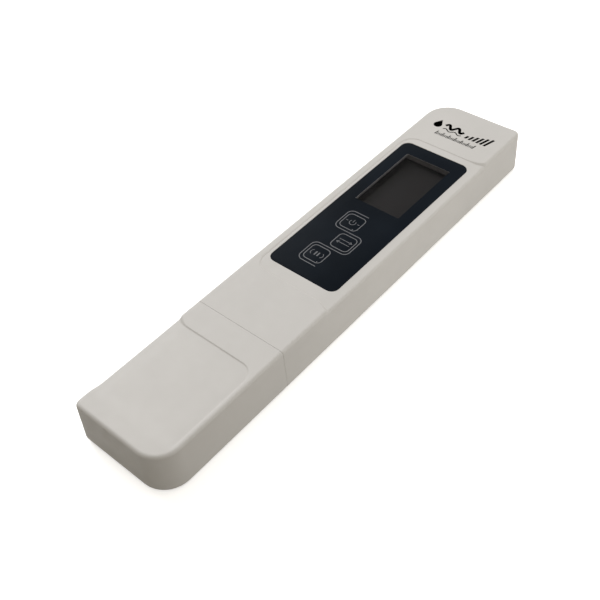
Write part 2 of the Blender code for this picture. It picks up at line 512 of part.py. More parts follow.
# ---------------------------------------------------------------- case screws
for i, (bx, by) in enumerate(CASE_SCREWS):
    screw = rod(f"case_screw_{i + 1}", 0.95, (bx, by, 1.2), (bx, by, 9.4), STEEL, segments=12, chamfer=0.3)
    join(screw, rod(f"u_case_head_{i}", 2.05, (bx, by, 0.5), (bx, by, 1.75), helper=True, segments=18))
    cut(screw, block(f"c_case_slot_a_{i}", bx - 1.3, bx + 1.3, by - 0.25, by + 0.25, -1, 1.1, helper=True),
        block(f"c_case_slot_b_{i}", bx - 0.25, bx + 0.25, by - 1.3, by + 1.3, -1, 1.1, helper=True))

bpy.context.view_layer.update()
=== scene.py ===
import math

import bmesh
import bpy
import numpy as np
from mathutils import Matrix, Vector


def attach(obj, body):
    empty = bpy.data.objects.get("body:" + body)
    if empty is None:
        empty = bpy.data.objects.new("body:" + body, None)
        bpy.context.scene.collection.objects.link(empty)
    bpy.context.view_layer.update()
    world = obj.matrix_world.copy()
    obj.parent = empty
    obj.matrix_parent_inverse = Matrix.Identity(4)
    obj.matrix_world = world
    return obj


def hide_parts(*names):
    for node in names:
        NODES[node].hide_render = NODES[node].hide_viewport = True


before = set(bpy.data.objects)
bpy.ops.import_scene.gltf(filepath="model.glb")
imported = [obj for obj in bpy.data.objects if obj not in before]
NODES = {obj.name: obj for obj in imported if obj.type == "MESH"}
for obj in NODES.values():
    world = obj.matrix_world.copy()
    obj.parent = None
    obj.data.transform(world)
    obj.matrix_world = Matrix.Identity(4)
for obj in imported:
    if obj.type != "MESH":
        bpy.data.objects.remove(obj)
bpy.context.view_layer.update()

MM = 0.001
scene = bpy.context.scene


# ------------------------------------------------------------------ node helpers
class Tree:
    """A small wrapper for building a material's node tree."""

    def __init__(self, name):
        self.mat = bpy.data.materials.new(name)
        self.mat.use_nodes = True
        self.tree = self.mat.node_tree
        self.shader = self.tree.nodes["Principled BSDF"]
        self.coord = self.add("ShaderNodeTexCoord")

    def add(self, kind, **props):
        node = self.tree.nodes.new(kind)
        for key, value in props.items():
            setattr(node, key, value)
        return node

    def link(self, a, b):
        self.tree.links.new(a, b)

    def set(self, **values):
        for key, value in values.items():
            self.shader.inputs[key.replace("_", " ")].default_value = value

    def noise(self, scale, detail=2.0, rough=0.5, stretch=None):
        node = self.add("ShaderNodeTexNoise")
        node.inputs["Scale"].default_value = scale
        node.inputs["Detail"].default_value = detail
        node.inputs["Roughness"].default_value = rough
        if stretch:
            mapping = self.add("ShaderNodeMapping")
            mapping.inputs["Scale"].default_value = stretch
            self.link(self.coord.outputs["Object"], mapping.inputs["Vector"])
            self.link(mapping.outputs["Vector"], node.inputs["Vector"])
        else:
            self.link(self.coord.outputs["Object"], node.inputs["Vector"])
        return node.outputs["Fac"]

    def ramp(self, value, low, high, out_low=0.0, out_high=1.0):
        node = self.add("ShaderNodeMapRange")
        node.clamp = True
        node.inputs["From Min"].default_value = low
        node.inputs["From Max"].default_value = high
        node.inputs["To Min"].default_value = out_low
        node.inputs["To Max"].default_value = out_high
        self.link(value, node.inputs["Value"])
        return node.outputs["Result"]

    def math(self, operation, a, b=None):
        node = self.add("ShaderNodeMath", operation=operation)
        for i, v in enumerate((a, b)):
            if v is None:
                continue
            if isinstance(v, (int, float)):
                node.inputs[i].default_value = v
            else:
                self.link(v, node.inputs[i])
        return node.outputs["Value"]

    def mix(self, fac, a, b, blend="MIX"):
        node = self.add("ShaderNodeMix", data_type="RGBA", blend_type=blend)
        for socket, v in ((node.inputs["Factor"], fac), (node.inputs[6], a), (node.inputs[7], b)):
            if isinstance(v, (int, float)):
                socket.default_value = v
            elif isinstance(v, tuple):
                socket.default_value = (*v, 1.0) if len(v) == 3 else v
            else:
                self.link(v, socket)
        return node.outputs[2]

    def bump(self, height, distance, strength=1.0, normal=None):
        node = self.add("ShaderNodeBump")
        node.inputs["Distance"].default_value = distance
        node.inputs["Strength"].default_value = strength
        self.link(height, node.inputs["Height"])
        if normal is not None:
            self.link(normal, node.inputs["Normal"])
        return node.outputs["Normal"]


def moulded(name, colour, rough, grain=0.22, depth=0.010, vary=0.03, specks=True, spec=0.5, hollow_tint=(0.50, 0.45, 0.36)):
    """Injection-moulded plastic: spark-eroded grain, faint flow blotches, dust specks and handled edges."""
    t = Tree(name)
    t.set(Specular_IOR_Level=spec)
    blotch = t.noise(38.0, 3.0, 0.55)
    fine = t.noise(1.0 / (grain * MM), 2.5, 0.6)
    mid = t.noise(420.0, 2.0, 0.5)
    dark = tuple(c * (1.0 - vary) for c in colour)
    light = tuple(min(c * (1.0 + vary * 0.8), 1.0) for c in colour)
    col = t.mix(t.ramp(blotch, 0.34, 0.66), dark, light)
    col = t.mix(t.ramp(fine, 0.62, 0.80, 0.0, 0.10), col, tuple(c * 0.78 for c in colour))
    geo = t.add("ShaderNodeNewGeometry")
    rubbed = t.ramp(geo.outputs["Pointiness"], 0.505, 0.56, 0.0, 0.16)
    rubbed = t.math("MULTIPLY", rubbed, t.ramp(mid, 0.35, 0.65))
    col = t.mix(rubbed, col, tuple(min(c * 1.12, 1.0) for c in colour))
    # darker, browner tint in hollows and creases (low pointiness)
    hollow_darkening = t.ramp(geo.outputs["Pointiness"], 0.495, 0.44, 0.0, 0.22)
    col = t.mix(hollow_darkening, col, tuple(c * s * 1.7 for c, s in zip(colour, hollow_tint)))
    if specks:
        cells = t.add("ShaderNodeTexVoronoi", feature="F1")
        cells.inputs["Scale"].default_value = 170.0
        cells.inputs["Randomness"].default_value = 1.0
        t.link(t.coord.outputs["Object"], cells.inputs["Vector"])
        dot = t.ramp(cells.outputs["Distance"], 0.020, 0.012)
        pick = t.add("ShaderNodeSeparateColor")
        t.link(cells.outputs["Color"], pick.inputs["Color"])
        rare = t.ramp(pick.outputs["Red"], 0.80, 0.82, 0.0, 0.55)
        col = t.mix(t.math("MULTIPLY", dot, rare), col, tuple(c * 0.30 for c in colour))
    t.link(col, t.shader.inputs["Base Color"])
    r = t.math("ADD", t.ramp(mid, 0.3, 0.7, rough - 0.05, rough + 0.05), t.ramp(rubbed, 0.0, 0.16, 0.0, -0.06))
    t.link(r, t.shader.inputs["Roughness"])
    n = t.bump(fine, depth * MM, 1.0)
    n = t.bump(blotch, 0.02 * MM, 0.6, n)
    t.link(n, t.shader.inputs["Normal"])
    return t.mat


def film_material(name, colour, rough):
    """Polyester film, printed on the back: almost smooth, with a faint orange peel and fine scuffs."""
    t = Tree(name)
    t.set(Specular_IOR_Level=0.015)
    cloud = t.noise(55.0, 3.0, 0.5)
    peel = t.noise(2600.0, 2.0, 0.5)
    scuff = t.noise(900.0, 3.0, 0.65, stretch=(0.22, 1.6, 1.0))
    col = t.mix(t.ramp(cloud, 0.35, 0.65), tuple(c * 0.86 for c in colour), tuple(c * 1.16 for c in colour))
    line = t.ramp(scuff, 0.70, 0.78, 0.0, 0.10)
    col = t.mix(line, col, (0.060, 0.064, 0.070))
    t.link(col, t.shader.inputs["Base Color"])
    t.link(t.ramp(peel, 0.3, 0.7, rough - 0.05, rough + 0.07), t.shader.inputs["Roughness"])
    n = t.bump(peel, 0.004 * MM, 1.0)
    t.link(t.bump(scuff, 0.002 * MM, 0.6, n), t.shader.inputs["Normal"])
    return t.mat


def ink_material(name, colour, rough=0.5):
    """Screen ink with a slightly uneven laydown."""
    t = Tree(name)
    t.set(Specular_IOR_Level=0.35)
    grain = t.noise(5200.0, 3.0, 0.6)
    patch = t.noise(300.0, 2.0, 0.5)
    col = t.mix(t.ramp(grain, 0.35, 0.75), tuple(c * 1.08 for c in colour), tuple(c * 0.80 for c in colour))
    col = t.mix(t.ramp(patch, 0.55, 0.8, 0.0, 0.25), col, tuple(c * 0.7 for c in colour))
    t.link(col, t.shader.inputs["Base Color"])
    t.link(t.ramp(patch, 0.3, 0.7, rough - 0.06, rough + 0.08), t.shader.inputs["Roughness"])
    t.link(t.bump(grain, 0.004 * MM), t.shader.inputs["Normal"])
    return t.mat


def pane_material(name):
    """Smoked clear plastic: mostly see-through, dark, with a soft gloss."""
    t = Tree(name)
    t.set(Alpha=0.36, Specular_IOR_Level=0.06, IOR=1.5)
    haze = t.noise(160.0, 3.0, 0.6)
    fine = t.noise(3000.0, 2.0, 0.5)
    t.link(t.mix(t.ramp(haze, 0.3, 0.7), (0.004, 0.004, 0.0045), (0.008, 0.008, 0.009)), t.shader.inputs["Base Color"])
    t.link(t.ramp(fine, 0.3, 0.7, 0.14, 0.22), t.shader.inputs["Roughness"])
    t.link(t.bump(haze, 0.004 * MM, 0.5), t.shader.inputs["Normal"])
    return t.mat


def lcd_material(name):
    """A switched-off display: grey-brown polariser with the faintest film mottle."""
    t = Tree(name)
    t.set(Specular_IOR_Level=0.2)
    mottle = t.noise(70.0, 3.0, 0.5)
    fine = t.noise(5200.0, 2.0, 0.5)
    col = t.mix(t.ramp(mottle, 0.3, 0.7), (0.082, 0.079, 0.084), (0.096, 0.093, 0.098))
    col = t.mix(t.ramp(fine, 0.55, 0.8, 0.0, 0.05), col, (0.06, 0.06, 0.06))
    # painted shadow: a dark band along the two far walls (+X, +Y), where they shade the glass, and a narrow dark rim on
    # the other two sides
    where = t.add("ShaderNodeSeparateXYZ")
    t.link(t.coord.outputs["Object"], where.inputs["Vector"])
    rim_and_wall_shadow = t.ramp(where.outputs["X"], 46.85 * MM, 46.1 * MM)
    rim_and_wall_shadow = t.math("MULTIPLY", rim_and_wall_shadow, t.ramp(where.outputs["Y"], 6.40 * MM, 5.85 * MM))
    rim_and_wall_shadow = t.math("MULTIPLY", rim_and_wall_shadow, t.ramp(where.outputs["X"], 22.4 * MM, 22.8 * MM))
    rim_and_wall_shadow = t.math("MULTIPLY", rim_and_wall_shadow, t.ramp(where.outputs["Y"], -7.4 * MM, -7.0 * MM))
    # the display is off: this stands for the shade the two far window walls throw on the glass
    fade = t.math("MULTIPLY", t.ramp(where.outputs["X"], 46.3 * MM, 39.0 * MM, 0.68, 1.0),
                  t.ramp(where.outputs["Y"], 6.1 * MM, 1.8 * MM, 0.68, 1.0))
    col = t.mix(fade, (0.0, 0.0, 0.0), col)
    # dark colour of the painted wall shadow and rim
    col = t.mix(rim_and_wall_shadow, (0.030, 0.030, 0.031), col)
    t.link(col, t.shader.inputs["Base Color"])
    t.link(t.ramp(fine, 0.3, 0.7, 0.32, 0.42), t.shader.inputs["Roughness"])
    t.link(t.bump(fine, 0.0006 * MM), t.shader.inputs["Normal"])
    return t.mat


def metal_material(name, colour, rough, brushed=(1.0, 1.0, 1.0), scale=1400.0, tarnish=(0.30, 0.27, 0.22), amount=0.25):
    """Drawn or turned metal: fine directional scratches and patchy tarnish."""
    t = Tree(name)
    t.set(Metallic=1.0)
    grain = t.noise(scale, 4.0, 0.65, stretch=brushed)
    patch = t.noise(190.0, 3.0, 0.6)
    col = t.mix(t.ramp(grain, 0.3, 0.7), tuple(c * 0.88 for c in colour), tuple(min(c * 1.06, 1.0) for c in colour))
    col = t.mix(t.ramp(patch, 0.52, 0.78, 0.0, amount), col, tarnish)
    t.link(col, t.shader.inputs["Base Color"])
    r = t.math("ADD", t.ramp(grain, 0.25, 0.75, rough - 0.06, rough + 0.08), t.ramp(patch, 0.5, 0.8, 0.0, 0.12))
    t.link(r, t.shader.inputs["Roughness"])
    t.link(t.bump(grain, 0.004 * MM, 0.8), t.shader.inputs["Normal"])
    return t.mat


def rubber_material(name, colour, rough=0.7):
    t = Tree(name)
    t.set(Specular_IOR_Level=0.3)
    fine = t.noise(3800.0, 3.0, 0.6)
    bloom = t.noise(260.0, 3.0, 0.6)
    col = t.mix(t.ramp(bloom, 0.45, 0.75, 0.0, 0.5), colour, tuple(min(c * 1.7 + 0.01, 1.0) for c in colour))
    col = t.mix(t.ramp(fine, 0.55, 0.8, 0.0, 0.35), col, tuple(c * 0.6 for c in colour))
    t.link(col, t.shader.inputs["Base Color"])
    t.link(t.ramp(bloom, 0.3, 0.7, rough - 0.08, rough + 0.08), t.shader.inputs["Roughness"])
    t.link(t.bump(fine, 0.008 * MM), t.shader.inputs["Normal"])
    return t.mat


def board_material(name):
    """Solder mask over glass weave, with lighter copper tracks showing through."""
    t = Tree(name)
    t.set(Coat_Weight=0.3, Coat_Roughness=0.15)
    bricks = t.add("ShaderNodeTexBrick")
    bricks.inputs["Scale"].default_value = 420.0
    bricks.inputs["Mortar Size"].default_value = 0.10
    bricks.inputs["Mortar Smooth"].default_value = 0.1
    bricks.inputs["Color1"].default_value = (0.010, 0.13, 0.045, 1)
    bricks.inputs["Color2"].default_value = (0.012, 0.16, 0.055, 1)
    bricks.inputs["Mortar"].default_value = (0.035, 0.26, 0.10, 1)
    t.link(t.coord.outputs["Object"], bricks.inputs["Vector"])
    weave = t.noise(2200.0, 2.0, 0.5, stretch=(1.0, 0.25, 1.0))
    col = t.mix(t.ramp(weave, 0.4, 0.7, 0.0, 0.25), bricks.outputs["Color"], (0.006, 0.08, 0.03))
    t.link(col, t.shader.inputs["Base Color"])
    t.link(t.ramp(weave, 0.3, 0.7, 0.22, 0.34), t.shader.inputs["Roughness"])
    t.link(t.bump(bricks.outputs["Fac"], 0.02 * MM, 0.6), t.shader.inputs["Normal"])
    return t.mat


ABS_COLOUR = (0.528, 0.521, 0.514)
abs_white = moulded("abs_white", ABS_COLOUR, 0.56, spec=0.32)
abs_inner = moulded("abs_white_inner", tuple(c * 0.97 for c in ABS_COLOUR), 0.45, grain=0.5, specks=False)
film = film_material("film_navy", (0.0066, 0.0095, 0.0140), 0.34)
ink_grey = ink_material("ink_grey", (0.112, 0.117, 0.131))
ink_black = ink_material("ink_black", (0.010, 0.011, 0.013), 0.45)
pane = pane_material("smoked_pane")
lcd_glass = lcd_material("lcd_polariser")
bezel_grey = moulded("bezel_grey", (0.375, 0.370, 0.385), 0.5, grain=0.12, depth=0.004, specks=False)
black_plastic = moulded("black_plastic", (0.020, 0.020, 0.021), 0.45, grain=0.12, depth=0.006, specks=False)
steel = metal_material("drawn_steel", (0.62, 0.62, 0.60), 0.24, brushed=(1.0, 0.3, 1.0))
pin_metal = metal_material("pin_metal", (0.50, 0.48, 0.45), 0.30, brushed=(2.2, 0.4, 0.4), amount=0.35)
nickel = metal_material("nickel_strip", (0.66, 0.63, 0.55), 0.28, brushed=(0.25, 2.0, 1.0))
can_metal = metal_material("can_aluminium", (0.72, 0.72, 0.73), 0.30, brushed=(2.0, 0.4, 0.4))
silicone = rubber_material("silicone_ring", (0.10, 0.10, 0.105))
zebra = rubber_material("zebra_rubber", (0.09, 0.09, 0.095), 0.65)
board = board_material("solder_mask")
lead_red = rubber_material("lead_red", (0.42, 0.022, 0.018), 0.45)
lead_black = rubber_material("lead_black", (0.020, 0.020, 0.021), 0.45)
lead_yellow = rubber_material("lead_yellow", (0.52, 0.38, 0.03), 0.45)


# ------------------------------------------------------------------ mesh helpers
def new_object(name, mesh, mat=None):
    obj = bpy.data.objects.new(name, mesh)
    scene.collection.objects.link(obj)
    if mat is not None:
        mesh.materials.clear()
        mesh.materials.append(mat)
    return obj


def finish_mesh(obj, angle=50.0):
    obj.data.shade_smooth()
    obj.data.set_sharp_from_angle(angle=math.radians(angle))
    return obj


def evaluated(obj):
    """Applies every modifier of obj, in place."""
    bpy.context.view_layer.update()
    graph = bpy.context.evaluated_depsgraph_get()
    mesh = bpy.data.meshes.new_from_object(obj.evaluated_get(graph))
    obj.modifiers.clear()
    obj.data = mesh
    return obj


def boolean(obj, tools, operation="DIFFERENCE"):
    for tool in tools:
        mod = obj.modifiers.new("b", "BOOLEAN")
        mod.operation = operation
        mod.object = tool
        mod.solver = "EXACT"
    evaluated(obj)
    for tool in tools:
        bpy.data.objects.remove(tool, do_unlink=True)
    return obj


def block(name, x0, x1, y0, y1, z0, z1, corners=None, seg=10, mat=None, top=0.0, bottom=0.0, edge_seg=4, ends=None):
    """A box in millimetres with rounded upright edges and rounded rims."""
    bm = bmesh.new()
    bmesh.ops.create_cube(bm, size=1.0)
    size = Vector((x1 - x0, y1 - y0, z1 - z0)) * MM
    mid = Vector(((x0 + x1) / 2, (y0 + y1) / 2, (z0 + z1) / 2)) * MM
    bmesh.ops.transform(bm, matrix=Matrix.Translation(mid) @ Matrix.Diagonal((*size, 1.0)), verts=bm.verts)
    if isinstance(corners, (int, float)):
        corners = {(sx, sy): corners for sx in (-1, 1) for sy in (-1, 1)}
    for (sx, sy), radius in (corners or {}).items():
        px, py = (x1 if sx > 0 else x0) * MM, (y1 if sy > 0 else y0) * MM
        edges = [e for e in bm.edges if all(abs(v.co.x - px) < 1e-7 and abs(v.co.y - py) < 1e-7 for v in e.verts)]
        bmesh.ops.bevel(bm, geom=edges, offset=radius * MM, segments=seg, profile=0.5, affect="EDGES", clamp_overlap=False)
    for z, radius in ((z1, top), (z0, bottom)):
        if radius <= 0:
            continue
        rim = [e for e in bm.edges if all(abs(v.co.z - z * MM) < 1e-7 for v in e.verts)
               and any(abs(f.normal.z) < 0.5 for f in e.link_faces)]
        if ends:
            rim = [e for e in rim if not any(all(abs(v.co.x - xe * MM) < 1e-7 for v in e.verts) for xe in ends)]
        bmesh.ops.bevel(bm, geom=rim, offset=radius * MM, segments=edge_seg, profile=0.5, affect="EDGES", clamp_overlap=False)
    bmesh.ops.recalc_face_normals(bm, faces=bm.faces)
    mesh = bpy.data.meshes.new(name)
    bm.to_mesh(mesh)
    bm.free()
    return new_object(name, mesh, mat)


def turned(name, profile, start, axis, mat=None, segments=64):
    """A turned piece: (distance along axis, radius) pairs in millimetres, spun about the axis through start."""
    axis = Vector(axis).normalized()
    turn = axis.to_track_quat("Z", "Y").to_matrix().to_4x4()
    place = Matrix.Translation(Vector(start) * MM) @ turn
    bm = bmesh.new()
    rings = []
    for d, r in profile:
        if r < 1e-6:
            rings.append([bm.verts.new(place @ Vector((0, 0, d * MM)))])
        else:
            rings.append([bm.verts.new(place @ Vector((r * MM * math.cos(a), r * MM * math.sin(a), d * MM)))
                          for a in (2 * math.pi * k / segments for k in range(segments))])
    for a, b in zip(rings, rings[1:]):
        for k in range(segments):
            k2 = (k + 1) % segments
            if len(a) == 1 and len(b) == 1:
                continue
            if len(a) == 1:
                bm.faces.new((a[0], b[k2], b[k]))
            elif len(b) == 1:
                bm.faces.new((a[k], a[k2], b[0]))
            else:
                bm.faces.new((a[k], a[k2], b[k2], b[k]))
    for ring in (rings[0], rings[-1]):
        if len(ring) > 1:
            bm.faces.new(ring)
    bmesh.ops.recalc_face_normals(bm, faces=bm.faces)
    mesh = bpy.data.meshes.new(name)
    bm.to_mesh(mesh)
    bm.free()
    return finish_mesh(new_object(name, mesh, mat), 35)


def rounded_end(length, radius, nose, steps=8):
    """Profile of a rod whose far end is rounded by nose."""
    pts = [(0.0, radius), (length - nose, radius)]
    for i in range(1, steps + 1):
        a = math.pi / 2 * i / steps
        pts.append((length - nose + nose * math.sin(a), radius - nose + nose * math.cos(a)))
    if radius - nose > 1e-6:
        pts.append((length, radius - nose))
    pts.append((length, 0.0))
    return [(0.0, 0.0)] + pts


def arc(cx, cy, r, a0, a1, n=12):
    return [(cx + r * math.cos(math.radians(a0 + (a1 - a0) * i / n)),
             cy + r * math.sin(math.radians(a0 + (a1 - a0) * i / n))) for i in range(n + 1)]


def ribbon_into(bm, path, width, z0, z1, closed=False):
    """A flat printed stroke along a path, in millimetres: rectangular section, round-cornered by its path."""
    pts = [Vector((x, y)) for x, y in path]
    n = len(pts)
    rings = []
    for i, p in enumerate(pts):
        a = pts[i - 1] if (closed or i > 0) else None
        b = pts[(i + 1) % n] if (closed or i < n - 1) else None
        d = ((p - a).normalized() if a is not None and (p - a).length > 1e-9 else Vector((0, 0)))
        e = ((b - p).normalized() if b is not None and (b - p).length > 1e-9 else Vector((0, 0)))
        t = (d + e)
        t = t.normalized() if t.length > 1e-9 else (d if d.length else e)
        side = Vector((-t.y, t.x))
        k = 1.0
        if d.length and e.length:
            k = 1.0 / max(0.5, math.sqrt(max((1 + d.dot(e)) / 2, 0.0)))
        off = side * width / 2 * k
        rings.append([bm.verts.new((q.x * MM, q.y * MM, z * MM))
                      for q, z in ((p + off, z0), (p - off, z0), (p - off, z1), (p + off, z1))])
    pairs = list(zip(rings, rings[1:])) + ([(rings[-1], rings[0])] if closed else [])
    for a, b in pairs:
        for k in range(4):
            bm.faces.new((a[k], a[(k + 1) % 4], b[(k + 1) % 4], b[k]))
    if not closed:
        bm.faces.new(rings[0])
        bm.faces.new(rings[-1][::-1])


def patch_into(bm, outline, z0, z1):
    """A flat printed patch with the given outline, in millimetres."""
    lower = [bm.verts.new((x * MM, y * MM, z0 * MM)) for x, y in outline]
    upper = [bm.verts.new((x * MM, y * MM, z1 * MM)) for x, y in outline]
    bm.faces.new(lower[::-1])
    bm.faces.new(upper)
    for i in range(len(outline)):
        j = (i + 1) % len(outline)
        bm.faces.new((lower[i], lower[j], upper[j], upper[i]))


def print_object(name, draw, mat):
    bm = bmesh.new()
    draw(bm)
    bmesh.ops.recalc_face_normals(bm, faces=bm.faces)
    mesh = bpy.data.meshes.new(name)
    bm.to_mesh(mesh)
    bm.free()
    return new_object(name, mesh, mat)


def ring_path(cx, cy, half, r, n=8):
    return (arc(cx + half - r, cy + half - r, r, 0, 90, n) + arc(cx - half + r, cy + half - r, r, 90, 180, n)
            + arc(cx - half + r, cy - half + r, r, 180, 270, n) + arc(cx + half - r, cy - half + r, r, 270, 360, n))


# ------------------------------------------------------------------ the outer skin
HALF_W, H = 15.0, 14.0
TOP_R, BOTTOM_R, SEAM_W, SEAM_D = 1.1, 1.8, 0.21, 0.085
DRAFT = 0.39


def sd_outline(u, y, u1, r_neg, r_pos, half=HALF_W, u0=-200.0):
    """Signed distance to the rounded outline, negative inside; open-ended towards -u."""
    cu = (u0 + u1) / 2
    r = np.where(u > cu, np.where(y > 0, r_pos, r_neg), 0.0)
    qx = np.abs(u - cu) - (u1 - u0) / 2 + r
    qy = np.abs(y) - half + r
    return np.minimum(np.maximum(qx, qy), 0.0) + np.hypot(np.maximum(qx, 0.0), np.maximum(qy, 0.0)) - r


def sd_polygon(x, y, pts):
    """Signed distance to a polygon, negative inside."""
    p = np.stack([x, y], -1)
    a = np.array(pts, float)
    b = np.roll(a, -1, 0)
    best = np.full(x.shape, 1e9)
    inside = np.zeros(x.shape, bool)
    for (ax, ay), (bx, by) in zip(a, b):
        ex, ey = bx - ax, by - ay
        l2 = ex * ex + ey * ey
        if l2 < 1e-12:
            continue
        wx, wy = p[..., 0] - ax, p[..., 1] - ay
        t = np.clip((wx * ex + wy * ey) / l2, 0, 1)
        best = np.minimum(best, np.hypot(wx - t * ex, wy - t * ey))
        cross = ((ay > p[..., 1]) != (by > p[..., 1]))
        with np.errstate(divide="ignore", invalid="ignore"):
            xi = ax + (p[..., 1] - ay) / (by - ay if by != ay else 1.0) * ex
        inside ^= cross & (p[..., 0] < xi)
    return np.where(inside, -best, best)


def smooth(t):
    t = np.clip(t, 0.0, 1.0)
    return t * t * (3 - 2 * t)


def spaced(*runs):
    """Joins (start, end, step) runs into one increasing list."""
    out = []
    for a, b, step in runs:
        n = max(1, int(round((b - a) / step)))
        out += [a + (b - a) * i / n for i in range(n)]
    out.append(runs[-1][1])
    return out


def skin(name, sign, u0, u1, r_neg, r_pos, us, ys, height, fillet, mat):
    """The closed outer form of one moulding.  u runs along the pen from its open, seam end to its
    closed end; x = sign * u.  height(x, y) is the top face, fillet(x, y) the radius of its rim."""
    half = HALF_W - DRAFT
    u1, r_neg, r_pos = u1 - DRAFT, r_neg - DRAFT, r_pos - DRAFT
    tail = [u1 - (max(r_neg, r_pos) + 0.6) * (1 - i / 46) ** 2 for i in range(47)]
    us = [u for u in us if u < tail[0] - 0.05] + tail
    lip = [u0 + SEAM_W * (1 - math.cos(math.pi / 2 * i / 5)) for i in range(6)]
    us = np.array(lip + [u for u in us if u > lip[-1] + 0.02])
    ys = np.array(ys)
    ins = np.where(us - u0 < SEAM_W, SEAM_D * (1.0 - np.sqrt(np.maximum(1.0 - (1.0 - (us - u0) / SEAM_W) ** 2, 0.0))), 0.0)

    def reach(r):
        du = np.clip(us - (u1 - r), 0.0, r)
        return half - r + np.sqrt(np.maximum(r * r - du * du, 0.0)) - ins

    hi, lo = reach(r_pos), reach(r_neg)
    U = np.repeat(us[:, None], len(ys), 1)
    Y = np.where(ys[None, :] > 0, ys[None, :] / HALF_W * hi[:, None], ys[None, :] / HALF_W * lo[:, None])
    d = np.maximum(-sd_outline(U, Y, u1, r_neg, r_pos, half), 0.0)
    d = np.where((np.arange(len(ys))[None, :] == 0) | (np.arange(len(ys))[None, :] == len(ys) - 1), 0.0, d)
    d[-1, :] = 0.0
    d = np.maximum(d - ins[:, None], 0.0)
    X = sign * U
    top, rf = height(X, Y), fillet(X, Y)
    drop = rf - np.sqrt(np.maximum(rf * rf - np.maximum(rf - d, 0.0) ** 2, 0.0))
    Z = top - drop - ins[:, None]
    nu, ny = U.shape
    verts = [(sign * U[i, j], Y[i, j], Z[i, j]) for i in range(nu) for j in range(ny)]
    idx = lambda i, j: i * ny + j
    faces = [(idx(i, j), idx(i + 1, j), idx(i + 1, j + 1), idx(i, j + 1)) for i in range(nu - 1) for j in range(ny - 1)]
    chain = [(i, 0) for i in range(nu)] + [(nu - 1, j) for j in range(1, ny)] + [(i, ny - 1) for i in range(nu - 2, -1, -1)]
    cu = np.array([U[c] for c in chain])
    cy = np.array([Y[c] for c in chain])
    cz = np.array([Z[c] for c in chain])
    ci = np.array([ins[c[0]] for c in chain])
    e = 1e-3
    gx = sd_outline(cu + e, cy, u1, r_neg, r_pos, half) - sd_outline(cu - e, cy, u1, r_neg, r_pos, half)
    gy = sd_outline(cu, cy + e, u1, r_neg, r_pos, half) - sd_outline(cu, cy - e, u1, r_neg, r_pos, half)
    gl = np.hypot(gx, gy)
    gx, gy = gx / gl, gy / gl
    levels = []
    for t in (0.06, 0.2, 0.45, 0.7, 0.9, 1.0):
        levels.append((cu + gx * DRAFT * t, cy + gy * DRAFT * t, cz + (BOTTOM_R - cz) * t))
    for k in range(1, 8):
        a = math.pi / 2 * k / 7
        back = BOTTOM_R * (1 - math.cos(a)) - DRAFT
        levels.append((cu - gx * back, cy - gy * back, BOTTOM_R * (1 - math.sin(a)) + ci * (1.0 if k == 7 else k / 7)))
    previous = [idx(*c) for c in chain]
    rows = [previous]
    for lu, ly, lz in levels:
        start = len(verts)
        verts += [(sign * a, b, c) for a, b, c in zip(lu, ly, lz)]
        row = list(range(start, start + len(chain)))
        faces += [(previous[k], row[k], row[k + 1], previous[k + 1]) for k in range(len(chain) - 1)]
        rows.append(row)
        previous = row
    faces.append(tuple(rows[-1]))
    end = [idx(0, j) for j in range(ny)] + [r[-1] for r in rows[1:]] + [r[0] for r in rows[:0:-1]]
    faces.append(tuple(end))
    mesh = bpy.data.meshes.new(name)
    mesh.from_pydata([(x * MM, y * MM, z * MM) for x, y, z in verts], [], faces)
    bm = bmesh.new()
    bm.from_mesh(mesh)
    bmesh.ops.remove_doubles(bm, verts=bm.verts, dist=1e-8)
    bmesh.ops.recalc_face_normals(bm, faces=bm.faces)
    bm.to_mesh(mesh)
    bm.free()
    return new_object(name, mesh, mat)


# ------------------------------------------------------------------ front shell
PANEL_X0, PANEL_X1, PANEL_Y1, PANEL_R, PANEL_DEPTH = -16.2, 55.15, 12.1, 4.5, 0.20
PANEL_FLOOR = H - PANEL_DEPTH
flare = [(0.0, -9.6), (0.10, -10.8), (0.36, -12.0), (0.80, -13.1), (1.35, -14.1), (2.05, -15.0), (2.6, -15.7), (2.6, -19.0)]
panel_outline = (arc(PANEL_X1 - PANEL_R, PANEL_Y1 - PANEL_R, PANEL_R, 0, 90, 24)
                 + arc(PANEL_X0 + PANEL_R, PANEL_Y1 - PANEL_R, PANEL_R, 90, 180, 24)
                 + [(PANEL_X0 - a, b) for a, b in flare] + [(PANEL_X1 + a, b) for a, b in reversed(flare)])


def panel_height(x, y):
    sd = sd_polygon(x, y, panel_outline)
    out = smooth((-9.0 - y) / 5.5)
    w = 0.16 + 0.34 * out
    return H - (PANEL_DEPTH + 0.42 * out) * smooth((w - sd) / (2 * w))


def panel_fillet(x, y):
    near = smooth((-9.0 - y) / 3.0)
    low = smooth((x + 16.5) / 1.6) * smooth((54.0 - x) / 1.6)
    return TOP_R - near * (0.16 + 0.18 * low)


xs = spaced((-34.8, -19.4, 0.9), (-19.4, -15.6, 0.10), (-15.6, -11.4, 0.2), (-11.4, 50.2, 1.1), (50.2, 54.4, 0.2),
            (54.4, 58.4, 0.10), (58.4, 68.5, 0.7))
rim_rows = [HALF_W - 2.5 * (1 - i / 16) ** 2 for i in range(17)]
ys_pos = spaced((0.0, 7.2, 0.8), (7.2, 11.3, 0.2), (11.3, 12.42, 0.07)) + rim_rows[1:]
ys_neg = [-v for v in reversed(rim_rows)][:-1] + spaced((-12.5, -8.8, 0.3), (-8.8, -0.8, 0.8))
ys_body = sorted(set(round(v, 6) for v in ys_neg + ys_pos))
front = skin("shell_front", 1, -34.8, 77.0, 2.5, 8.5, xs, ys_body, panel_height, panel_fillet, abs_white)

KEYS = {"power": (13.05, 1.25), "shift": (5.05, -1.9), "hold": (-2.75, 1.2)}
WINDOW = (21.9, 47.5, -7.9, 7.16)
LABEL = (-11.92, 52.48, -11.68, 11.14)
FILM_Z0, FILM_Z1 = 13.42, 13.71

